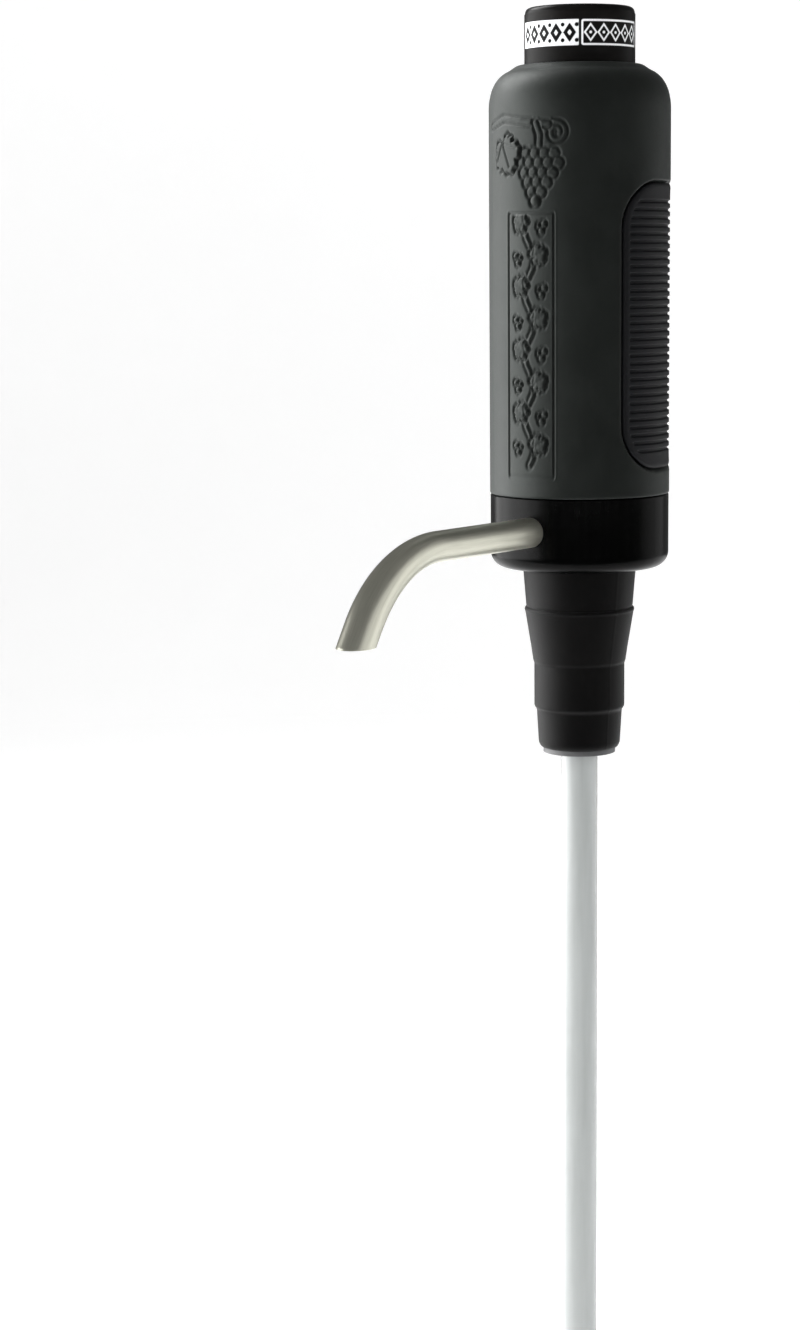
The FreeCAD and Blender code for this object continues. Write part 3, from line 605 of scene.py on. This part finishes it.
def make_label():
    """Printed film; the print is a distance field on the mesh that the material cuts to a sharp edge."""
    z_out = np.unique(np.round(np.concatenate([
        np.arange(LABEL_LOW, FINE_LOW, 0.9), np.arange(FINE_LOW, FINE_HIGH, 0.3),
        np.arange(FINE_HIGH, 127.0, 0.8), np.arange(127.0, 133.8, 0.2), [LABEL_HIGH]]), 3))
    outer = [(LABEL_R, z) for z in z_out]
    inner = [(LABEL_R - LABEL_T, z) for z in (LABEL_HIGH, FINE_HIGH, FINE_LOW, LABEL_LOW)]
    profile = np.array(outer + inner)
    obj = lathe("cartridge_label_printed", profile, LABEL_COLUMNS, None, 35)
    degrees = np.linspace(0, 360, LABEL_COLUMNS, endpoint=False)
    field = label_print(np.repeat(degrees[None, :], len(profile), 0),
                        np.repeat(profile[:, 1][:, None], LABEL_COLUMNS, 1))
    field[len(outer):] = -1.0
    attribute = obj.data.attributes.new("print", "FLOAT", "POINT")
    attribute.data.foreach_set("value", np.clip(field, -1, 1).astype(np.float32).ravel())
    return obj


# ---- springs --------------------------------------------------------------------------------------------
WIRE_COLUMNS = 14
STEPS_A_TURN = 40
FLAT_TURN = 0.35       # this share of a turn lies flat at each end


def make_spring(name, mean_r, wire_r, z0, z1, turns):
    """Round-wire compression spring with closed ends, its end turns lying flat."""
    t = np.linspace(0, turns, int(turns * STEPS_A_TURN) + 1)
    lead = np.clip((t - FLAT_TURN) / (turns - 2 * FLAT_TURN), 0, 1)
    centre_z = z0 + wire_r + (z1 - z0 - 2 * wire_r) * lead
    turn = 2 * math.pi * t
    radial = np.stack([np.cos(turn), np.sin(turn), np.zeros(len(t))], -1)
    up = np.array([0.0, 0.0, 1.0])
    points = []
    for i in range(len(t)):
        centre = radial[i] * mean_r + up * centre_z[i]
        for a in np.linspace(0, 2 * math.pi, WIRE_COLUMNS, endpoint=False):
            points.append(centre + wire_r * (math.cos(a) * radial[i] + math.sin(a) * up))
    start, end = points[:WIRE_COLUMNS], points[-WIRE_COLUMNS:]
    points += [np.mean(start, axis=0), np.mean(end, axis=0)]
    obj = build_mesh(name, points, grid_faces(len(t), WIRE_COLUMNS, wrap_columns=True)[:, ::-1])
    cap = bmesh.new()
    cap.from_mesh(obj.data)
    cap.verts.ensure_lookup_table()
    first, last = len(points) - 2, len(points) - 1
    base = (len(t) - 1) * WIRE_COLUMNS
    for k in range(WIRE_COLUMNS):
        k1 = (k + 1) % WIRE_COLUMNS
        cap.faces.new((cap.verts[first], cap.verts[k], cap.verts[k1]))
        cap.faces.new((cap.verts[last], cap.verts[base + k1], cap.verts[base + k]))
    bmesh.ops.recalc_face_normals(cap, faces=cap.faces)
    cap.to_mesh(obj.data)
    cap.free()
    return obj


# ---- materials ------------------------------------------------------------------------------------------
class Shader:
    """A Principled material built step by step; its texture coordinates are object metres."""

    def __init__(self, name, **sockets):
        self.material = bpy.data.materials.new(name)
        self.material.use_nodes = True
        self.tree = self.material.node_tree
        self.bsdf = self.tree.nodes["Principled BSDF"]
        self.coords = self.add("ShaderNodeTexCoord").outputs["Object"]
        for socket, value in sockets.items():
            self.bsdf.inputs[socket.replace("_", " ")].default_value = value

    def add(self, kind, **settings):
        node = self.tree.nodes.new(kind)
        for key, value in settings.items():
            setattr(node, key, value)
        return node

    def link(self, source, target):
        self.tree.links.new(source, target)

    def noise(self, scale, detail=3.0, rough=0.5, stretch=None, coords=None):
        source = coords or self.coords
        if stretch is not None:
            mapping = self.add("ShaderNodeMapping")
            mapping.inputs["Scale"].default_value = stretch
            self.link(source, mapping.inputs["Vector"])
            source = mapping.outputs["Vector"]
        node = self.add("ShaderNodeTexNoise")
        node.inputs["Scale"].default_value = scale
        node.inputs["Detail"].default_value = detail
        node.inputs["Roughness"].default_value = rough
        self.link(source, node.inputs["Vector"])
        return node.outputs["Fac"]

    def ramp(self, source, low, high, out_low=0.0, out_high=1.0):
        node = self.add("ShaderNodeMapRange")
        node.inputs["From Min"].default_value = low
        node.inputs["From Max"].default_value = high
        node.inputs["To Min"].default_value = out_low
        node.inputs["To Max"].default_value = out_high
        self.link(source, node.inputs["Value"])
        return node.outputs["Result"]

    def mix(self, fac, a, b):
        node = self.add("ShaderNodeMix", data_type="RGBA")
        self.link(fac, node.inputs["Factor"])
        for value, target in ((a, node.inputs["A"]), (b, node.inputs["B"])):
            if isinstance(value, tuple):
                target.default_value = (*value, 1.0)
            else:
                self.link(value, target)
        return node.outputs["Result"]

    def math(self, operation, a, b):
        node = self.add("ShaderNodeMath", operation=operation)
        for value, target in ((a, node.inputs[0]), (b, node.inputs[1])):
            if isinstance(value, (int, float)):
                target.default_value = value
            else:
                self.link(value, target)
        return node.outputs["Value"]

    def edges(self):
        """1 on convex edges, 0 elsewhere."""
        return self.ramp(self.add("ShaderNodeNewGeometry").outputs["Pointiness"], 0.52, 0.6)

    def blend(self, a, share_a, b, share_b):
        """a and b added in those shares."""
        return self.math("ADD", self.math("MULTIPLY", a, share_a), self.math("MULTIPLY", b, share_b))

    def bump(self, height, distance, strength=1.0, before=None):
        node = self.add("ShaderNodeBump")
        node.inputs["Distance"].default_value = distance
        node.inputs["Strength"].default_value = strength
        self.link(height, node.inputs["Height"])
        if before is not None:
            self.link(before, node.inputs["Normal"])
        return node.outputs["Normal"]

    def finish(self, colour=None, roughness=None, normal=None):
        if colour is not None:
            self.link(colour, self.bsdf.inputs["Base Color"])
        if roughness is not None:
            self.link(roughness, self.bsdf.inputs["Roughness"])
        if normal is not None:
            self.link(normal, self.bsdf.inputs["Normal"])
        return self.material


def moulded(name, dark, light, worn, rough, grain_scale, grain_depth, **sockets):
    """Moulded plastic or rubber: mottled colour, fine spark grain, and polished or dusty edges."""
    sh = Shader(name, **sockets)
    cloud = sh.noise(90.0, 4.0, 0.6)
    speck = sh.noise(grain_scale, 2.0, 0.6)
    colour = sh.mix(sh.ramp(cloud, 0.3, 0.7), dark, light)
    colour = sh.mix(sh.math("MULTIPLY", sh.edges(), sh.ramp(cloud, 0.25, 0.75, 0.25, 0.9)), colour, worn)
    roughness = sh.ramp(sh.blend(cloud, 0.6, speck, 0.4), 0.3, 0.7, *rough)
    normal = sh.bump(speck, grain_depth)
    normal = sh.bump(sh.noise(grain_scale * 0.23, 2.0), grain_depth * 1.6, 0.5, normal)
    return sh.finish(colour, roughness, normal)


def metal(name, dark, light, rough, scale, stretch=None, depth=4e-6, coords=None, **sockets):
    """Metal with fine machining or brushing marks that shift its colour and gloss."""
    sh = Shader(name, **sockets)
    source = None
    if coords is not None:
        source = sh.add("ShaderNodeAttribute", attribute_name=coords).outputs["Vector"]
    lines = sh.noise(scale, 4.0, 0.65, stretch, source)
    broad = sh.noise(60.0, 3.0)
    colour = sh.mix(sh.ramp(sh.blend(lines, 0.6, broad, 0.4), 0.3, 0.7), dark, light)
    roughness = sh.ramp(sh.blend(lines, 0.5, broad, 0.5), 0.3, 0.7, *rough)
    return sh.finish(colour, roughness, sh.bump(lines, depth))


def printed_film():
    """Black film; white ink lies where the mesh's "print" attribute is above 0."""
    sh = Shader("label_film", IOR=1.36, Specular_IOR_Level=0.12)
    field = sh.add("ShaderNodeAttribute", attribute_name="print").outputs["Fac"]
    ink = sh.ramp(field, -0.05, 0.05)
    cloud = sh.noise(160.0, 3.0)
    grit = sh.noise(2600.0, 2.0)
    black = sh.mix(sh.ramp(cloud, 0.3, 0.7), (0.0045, 0.0043, 0.0042), (0.0075, 0.007, 0.0065))
    white = sh.mix(sh.ramp(grit, 0.35, 0.65), (0.74, 0.75, 0.77), (0.86, 0.87, 0.88))
    roughness = sh.ramp(cloud, 0.3, 0.7, 0.34, 0.44)
    return sh.finish(sh.mix(ink, black, white), roughness, sh.bump(grit, 6e-6))


def clear_tube():
    """Translucent plastic with faint streaks along the tube."""
    sh = Shader("clear_tube", IOR=1.45, Transmission_Weight=0.6, Roughness=0.2)
    cloud = sh.noise(300.0, 3.0, 0.5, (1.0, 1.0, 0.08))
    colour = sh.mix(sh.ramp(cloud, 0.3, 0.7), (0.58, 0.60, 0.595), (0.70, 0.72, 0.715))
    return sh.finish(colour, sh.ramp(cloud, 0.3, 0.7, 0.14, 0.26), sh.bump(cloud, 2e-5))


soft_touch = moulded(
    "soft_touch", dark=(0.0045, 0.0056, 0.0049), light=(0.0078, 0.0093, 0.0083),
    worn=(0.016, 0.018, 0.0165), rough=(0.45, 0.60), grain_scale=4200.0,
    grain_depth=1.4e-5, IOR=1.5, Specular_IOR_Level=0.36,
    Specular_Tint=(0.93, 1.0, 0.96, 1.0), Sheen_Weight=0.05, Sheen_Tint=(0.9, 1.0, 0.95, 1.0),
    Sheen_Roughness=0.4)
pad_rubber = moulded(
    "pad_rubber", dark=(0.0044, 0.0047, 0.0062), light=(0.0062, 0.0065, 0.0084), worn=(0.013, 0.013, 0.016),
    rough=(0.50, 0.62), grain_scale=4200.0, grain_depth=1.2e-5, IOR=1.5, Specular_IOR_Level=0.3)
collar_plastic = moulded(
    "collar_plastic", dark=(0.0002, 0.0003, 0.0003), light=(0.0006, 0.0008, 0.0007),
    worn=(0.006, 0.006, 0.006), rough=(0.20, 0.27), grain_scale=3800.0,
    grain_depth=2e-6, IOR=1.5, Specular_IOR_Level=0.07)
stopper_rubber = moulded(
    "stopper_rubber", dark=(0.0016, 0.0015, 0.0016), light=(0.0028, 0.0027, 0.0026),
    worn=(0.009, 0.009, 0.0086), rough=(0.40, 0.52), grain_scale=3400.0,
    grain_depth=1.1e-5, IOR=1.5, Specular_IOR_Level=0.09,
    Sheen_Weight=0.05)
seal_rubber = moulded(
    "seal_rubber", dark=(0.010, 0.010, 0.011), light=(0.018, 0.018, 0.018), worn=(0.03, 0.03, 0.03),
    rough=(0.45, 0.6), grain_scale=5200.0, grain_depth=8e-6)
inner_plastic = moulded(
    "inner_plastic", dark=(0.045, 0.047, 0.050), light=(0.065, 0.067, 0.070), worn=(0.11, 0.11, 0.112),
    rough=(0.38, 0.5), grain_scale=3600.0, grain_depth=8e-6)
bearing_plastic = moulded(
    "bearing_plastic", dark=(0.50, 0.49, 0.44), light=(0.62, 0.61, 0.56), worn=(0.7, 0.69, 0.64),
    rough=(0.3, 0.42), grain_scale=3200.0, grain_depth=6e-6)
can_lacquer = moulded(
    "can_lacquer", dark=(0.0032, 0.0031, 0.0030), light=(0.0060, 0.0058, 0.0055),
    worn=(0.035, 0.034, 0.033), rough=(0.26, 0.34), grain_scale=2400.0,
    grain_depth=3e-6, IOR=1.36, Specular_IOR_Level=0.14)
spout_steel = metal(
    "spout_steel", dark=(0.56, 0.555, 0.47), light=(0.72, 0.715, 0.61), rough=(0.29, 0.40), scale=4.0,
    stretch=(0.035, 1.0, 1.0), depth=1.2e-5, coords="lay", Metallic=0.9)
cup_metal = metal(
    "cup_metal", dark=(0.68, 0.67, 0.64), light=(0.80, 0.79, 0.76), rough=(0.2, 0.32), scale=900.0,
    Metallic=1.0)
spring_metal = metal(
    "spring_metal", dark=(0.42, 0.42, 0.43), light=(0.56, 0.56, 0.57), rough=(0.22, 0.34), scale=1400.0,
    Metallic=1.0)
screw_metal = metal(
    "screw_metal", dark=(0.33, 0.33, 0.34), light=(0.48, 0.48, 0.49), rough=(0.24, 0.4), scale=1800.0,
    Metallic=1.0)
film = printed_film()
tube_clear = clear_tube()

BY_NODE = {
    "guide_ring": bearing_plastic, "barrel": inner_plastic, "base_collar": collar_plastic,
    "base_screws": screw_metal, "manifold": inner_plastic, "duckbill_valve": seal_rubber,
    "seat_gasket": seal_rubber, "valve_seat": bearing_plastic, "seat_screws": screw_metal,
    "stem_o_ring": seal_rubber, "cartridge_cradle": bearing_plastic, "valve_cup": cup_metal,
    "cup_gasket": seal_rubber, "stem_gasket": seal_rubber, "valve_housing": bearing_plastic,
    "valve_stem": bearing_plastic, "spout_o_rings": seal_rubber, "stopper_core": inner_plastic,
    "core_o_ring": seal_rubber, "dip_tube": tube_clear,
}
for node_name, material in BY_NODE.items():
    node_mesh = nodes[node_name].data
    if len(nodes[node_name].material_slots) == 0:
        node_mesh.materials.append(material)
    for node_slot in nodes[node_name].material_slots:
        node_slot.material = material


# ---- pieces ---------------------------------------------------------------------------------------------
def place(obj, body, slot_name, material, *replaced):
    """Give a piece its material and body, and hide the CAD nodes that it stands in for; slot_name is not
    used.
    """
    obj.data.materials.append(material)
    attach(obj, body)
    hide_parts(*replaced)
    return obj


place(make_shell(), "housing", "soft_touch", soft_touch, "grip_shell")
place(make_pad(1, "grip_pad_right_moulded"), "housing", "grip_rubber", pad_rubber, "grip_pad_right")
place(make_pad(-1, "grip_pad_left_moulded"), "housing", "grip_rubber", pad_rubber, "grip_pad_left")
spout = place(make_spout(), "housing", "spout_steel", spout_steel, "spout_tube")
place(make_stopper(), "housing", "stopper_rubber", stopper_rubber, "stopper")
place(make_can(), "cartridge", "can_aluminium", can_lacquer, "cartridge_can")
place(make_label(), "cartridge", "label_film", film, "cartridge_label")


def place_spring(node, body, mean_r, wire_r, turns):
    """A wound spring in place of its CAD node, as long as that node."""
    spring_low, spring_high = node_box(node)
    z0, z1 = spring_low[2], spring_high[2]
    spring = make_spring(node + "_wound", mean_r, wire_r, z0, z1, turns)
    obj = place(spring, body, "spring_steel", spring_metal, node)
    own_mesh(obj)


place_spring("return_spring", "housing", mean_r=11.0, wire_r=0.45, turns=4.5)
place_spring("valve_spring", "cartridge", mean_r=2.0, wire_r=0.25, turns=5.0)


# ---- stage, light and camera ----------------------------------------------------------------------------
CAMERA_DEG = 33.0      # the camera's angle from the spout
CAMERA_DISTANCE = 0.571017
CAMERA_HEIGHT = 0.087976
CAMERA_FOCAL_PX = 2799.855
IMAGE_LONG_SIDE = 1330
PAN_DEG, TILT_DEG, ROLL_DEG = -3.704, 8.367, -0.5
SENSOR = 36.0
CLIP_NEAR, CLIP_FAR = 0.01, 50.0

PAPER_GLOW = 0.38      # light given off by the stage, so that it nears the photo's white
WORLD_GREY = 0.13
FLOOR_GAP = 0.05       # the floor lies this far under the dip tube
FLAT_R, SWEEP_R = 1500, 900            # the flat floor, and the curve up into the wall
CENTRE_HOLE_R = 0.5
SWEEP_COLUMNS, TABLE_COLUMNS = 96, 72
TABLE_RADII = (CENTRE_HOLE_R, 80, 200, 400, 700, 900)
TABLE_OFFSET = 650     # the table's middle, behind the object as the camera sees it
TABLE_LIFT = 0.02


def direction(degrees):
    """Horizontal unit vector at an angle counted from the spout towards +X."""
    turn = math.radians(degrees)
    return Vector((math.sin(turn), -math.cos(turn), 0.0))


def disc_grid(name, radii, heights, columns, shift=(0.0, 0.0)):
    """Rings of points round an axis, joined into a sheet."""
    degrees = np.linspace(0, 360, columns, endpoint=False)
    r = np.repeat(np.array(radii, float)[:, None], columns, 1)
    z = np.repeat(np.array(heights, float)[:, None], columns, 1)
    points = around(r, np.repeat(degrees[None, :], len(radii), 0), z).reshape(-1, 3)
    points[:, :2] += np.array(shift)
    return build_mesh(name, points, grid_faces(len(radii), columns, wrap_columns=True))


def make_stage():
    """A pale floor that curves up into a pale wall all round, and a table top that shows in reflections."""
    floor_z = tube_low[2] - FLOOR_GAP
    curve = np.linspace(0.15, math.pi / 2, 14)
    profile = [(r, 0.0) for r in (CENTRE_HOLE_R, 60, 130, 240, 400, 700, 1100, FLAT_R)]
    profile += [(FLAT_R + SWEEP_R * math.sin(a), SWEEP_R * (1 - math.cos(a))) for a in curve]
    profile += [(2400, 1600), (2400, 2600)]
    radii, heights = zip(*profile)
    sweep = disc_grid("studio_sweep", radii, np.array(heights) + floor_z, SWEEP_COLUMNS)
    sweep.visible_glossy = False
    table = disc_grid("studio_table", TABLE_RADII, [floor_z + TABLE_LIFT] * len(TABLE_RADII), TABLE_COLUMNS,
                      np.array(direction(CAMERA_DEG + 180).xy) * TABLE_OFFSET)
    sh = Shader("studio_paper", Roughness=0.9)
    cloud = sh.noise(2.5, 3.0)
    sh.bsdf.inputs["Emission Color"].default_value = (1.0, 1.0, 1.0, 1.0)
    sh.bsdf.inputs["Emission Strength"].default_value = PAPER_GLOW
    paper = sh.finish(sh.mix(cloud, (0.80, 0.80, 0.80), (0.84, 0.84, 0.84)), None,
                      sh.bump(sh.noise(900.0, 3.0), 2e-5))
    for part in (sweep, table):
        part.data.materials.append(paper)


def soft_light(name, degrees, distance, height, width, tall, power, target_z=0.04, glossy=True):
    """A white rectangular area light that looks at the axis; lengths in metres, power in watts."""
    data = bpy.data.lights.new(name, "AREA")
    data.shape = "RECTANGLE"
    data.size, data.size_y = width, tall
    data.energy = power
    obj = bpy.data.objects.new(name, data)
    bpy.context.scene.collection.objects.link(obj)
    obj.location = direction(degrees) * distance + Vector((0, 0, height))
    aim = Vector((0, 0, target_z)) - obj.location
    obj.rotation_mode = "QUATERNION"
    obj.rotation_quaternion = aim.to_track_quat("-Z", "Y")
    obj.visible_camera = False
    obj.visible_glossy = glossy
    return obj


def make_camera():
    """Camera beside the axis, panned left, tilted down and slightly rolled."""
    a = math.radians(CAMERA_DEG)
    pan, tilt, roll = (math.radians(x) for x in (PAN_DEG, TILT_DEG, ROLL_DEG))
    place_at = direction(CAMERA_DEG) * CAMERA_DISTANCE + Vector((0, 0, CAMERA_HEIGHT))
    ahead0, right0 = Vector((-math.sin(a), math.cos(a), 0)), Vector((math.cos(a), math.sin(a), 0))
    up0 = Vector((0, 0, 1))
    ahead = ahead0 * math.cos(pan) + right0 * math.sin(pan)
    right = right0 * math.cos(pan) - ahead0 * math.sin(pan)
    forward = ahead * math.cos(tilt) - up0 * math.sin(tilt)
    up = up0 * math.cos(tilt) + ahead * math.sin(tilt)
    x_axis = right * math.cos(roll) + up * math.sin(roll)
    y_axis = up * math.cos(roll) - right * math.sin(roll)
    data = bpy.data.cameras.new("camera")
    data.sensor_width = SENSOR
    data.lens = CAMERA_FOCAL_PX * SENSOR / IMAGE_LONG_SIDE
    data.clip_start, data.clip_end = CLIP_NEAR, CLIP_FAR
    obj = bpy.data.objects.new("camera", data)
    bpy.context.scene.collection.objects.link(obj)
    turned = Matrix((x_axis, y_axis, -forward)).transposed().to_4x4()
    obj.matrix_world = Matrix.Translation(place_at) @ turned
    bpy.context.scene.camera = obj


def light_group(name, obj, state, *lights):
    """Those lights leave the object out (EXCLUDE), or light nothing else (INCLUDE)."""
    group = bpy.data.collections.new(name)
    group.objects.link(obj)
    group.collection_objects[0].light_linking.link_state = state
    for light in lights:
        light.light_linking.receiver_collection = group


make_stage()
key = soft_light("key_wide", CAMERA_DEG - 95, distance=0.75, height=0.075, width=1.35, tall=0.65, power=9.2)
soft_light("key_core", CAMERA_DEG - 92, distance=0.70, height=0.06, width=0.6, tall=0.55, power=2.2)
shoulder = soft_light("shoulder_light", CAMERA_DEG - 118, distance=0.6, height=0.62, width=0.5, tall=0.5,
                      power=8.0, target_z=0.12)
soft_light("back_card", CAMERA_DEG + 112, distance=0.9, height=0.0, width=0.8, tall=0.5, power=0.8)
soft_light("top_fill", CAMERA_DEG - 40, distance=0.35, height=1.1, width=0.9, tall=0.9, power=1.2,
           glossy=False)
spout_card = soft_light("spout_card", CAMERA_DEG + 72, distance=0.7, height=0.12, width=1.05, tall=0.75,
                        power=1.75)
make_camera()
light_group("spout_only", spout, "INCLUDE", spout_card)
light_group("flagged_from_side_lights", spout, "EXCLUDE", key, shoulder)

world = bpy.data.worlds.new("studio_world")
bpy.context.scene.world = world
world.use_nodes = True
backdrop = world.node_tree.nodes["Background"]
backdrop.inputs["Color"].default_value = (WORLD_GREY, WORLD_GREY, WORLD_GREY, 1.0)
bpy.context.scene.view_settings.view_transform = "Standard"
